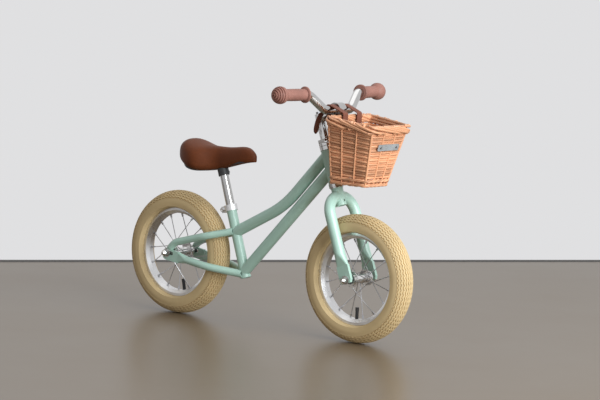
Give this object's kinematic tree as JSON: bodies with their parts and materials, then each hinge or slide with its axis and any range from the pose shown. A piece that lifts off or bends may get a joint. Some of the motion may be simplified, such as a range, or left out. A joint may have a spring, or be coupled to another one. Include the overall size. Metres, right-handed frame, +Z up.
{
  "type": "balance bike",
  "caption": "Child's pedal-less bicycle with a curved step-through frame, spoked wheels, padded saddle and a wicker front basket held on the handlebar by leather straps.",
  "frame": {"origin": "on the ground, half way between the two axles, in the bike's middle plane", "axes": "+X forward, +Y to the rider's left, +Z up"},
  "size_m": [0.885, 0.4196, 0.6165],
  "materials": {
    "mint_paint": "smooth satin, pale grey-green",
    "bright_alloy": "polished",
    "dark_steel": "plain",
    "chrome": "bright plated",
    "spoke_steel": "drawn wire",
    "saddle_leather": "smooth brown imitation leather",
    "grip_leather": "light brown imitation leather",
    "strap_leather": "brown",
    "tan_tyre": "cream-tan rubber",
    "black_rubber": "matt",
    "black_plastic": "matt",
    "wicker": "woven willow, light varnish",
    "bare_plate": "plain plate with no marking"
  },
  "bodies": {
    "frame": {"head_tube": "mint_paint", "seat_tube": "mint_paint", "top_tube": "mint_paint", "down_tube": "mint_paint", "chain_stay_right": "mint_paint", "chain_stay_left": "mint_paint", "seat_stay_right": "mint_paint", "seat_stay_left": "mint_paint", "seat_collar": "bright_alloy", "collar_bolt": "dark_steel", "lower_cup": "chrome", "upper_cup": "chrome", "ball_rings": "dark_steel", "rear_axle": "dark_steel", "rear_axle_cones": "chrome", "rear_axle_nuts": "chrome"},
    "fork": {"steerer": "mint_paint", "fork_leg_right": "mint_paint", "fork_leg_left": "mint_paint", "crown_race": "chrome", "top_cone": "chrome", "lock_nut": "chrome", "front_axle": "dark_steel", "front_axle_cones": "chrome", "front_axle_nuts": "chrome"},
    "stem_unit": {"stem": "chrome", "clamp_bolt": "dark_steel", "stem_wedge": "bright_alloy", "expander_bolt": "dark_steel"},
    "bar_unit": {"handlebar": "chrome", "grip_right": "grip_leather", "grip_left": "grip_leather"},
    "basket_unit": {"basket": "wicker", "basket_plate": "bare_plate", "plate_rivets": "chrome", "strap_right": "strap_leather", "strap_left": "strap_leather", "strap_buckles": "dark_steel"},
    "seat_unit": {"seat_post": "bright_alloy", "saddle_cover": "saddle_leather", "saddle_pan": "black_plastic", "saddle_bolt": "dark_steel"},
    "rear_wheel": {"rear_tyre": "tan_tyre", "rear_inner_tube": "black_rubber", "rear_rim": "bright_alloy", "rear_valve": "black_rubber", "rear_valve_cap": "black_plastic", "rear_spokes": "spoke_steel", "rear_nipples": "spoke_steel", "rear_hub_shell": "chrome", "rear_ball_rows": "dark_steel"},
    "front_wheel": {"front_tyre": "tan_tyre", "front_inner_tube": "black_rubber", "front_rim": "bright_alloy", "front_valve": "black_rubber", "front_valve_cap": "black_plastic", "front_spokes": "spoke_steel", "front_nipples": "spoke_steel", "front_hub_shell": "chrome", "front_ball_rows": "dark_steel"}
  },
  "joints": [
    {"name": "steering", "type": "hinge", "parent": "frame", "child": "fork", "pos_m": [0.2865, 0, 0.156], "axis": [-0.3551, 0, 0.9348], "range_deg": [-90, 90]},
    {"name": "front_wheel_spin", "type": "hinge", "parent": "fork", "child": "front_wheel", "pos_m": [0.2865, 0, 0.156], "axis": [0, 1, 0], "continuous": true},
    {"name": "rear_wheel_spin", "type": "hinge", "parent": "frame", "child": "rear_wheel", "pos_m": [-0.2865, 0, 0.156], "axis": [0, 1, 0], "continuous": true},
    {"name": "seat_height", "type": "slide", "parent": "frame", "child": "seat_unit", "axis": [-0.3256, 0, 0.9455], "range_m": [-0.045, 0.05]},
    {"name": "stem_height", "type": "slide", "parent": "fork", "child": "stem_unit", "axis": [-0.3551, 0, 0.9348], "range_m": [-0.015, 0.035]},
    {"name": "bar_tilt", "type": "hinge", "parent": "stem_unit", "child": "bar_unit", "pos_m": [0.1973, 0, 0.55696], "axis": [0, 1, 0], "range_deg": [-35, 35]},
    {"name": "basket_swing", "type": "hinge", "parent": "stem_unit", "child": "basket_unit", "pos_m": [0.1973, 0, 0.55696], "axis": [0, -1, 0], "range_deg": [0, 40]}
  ]
}
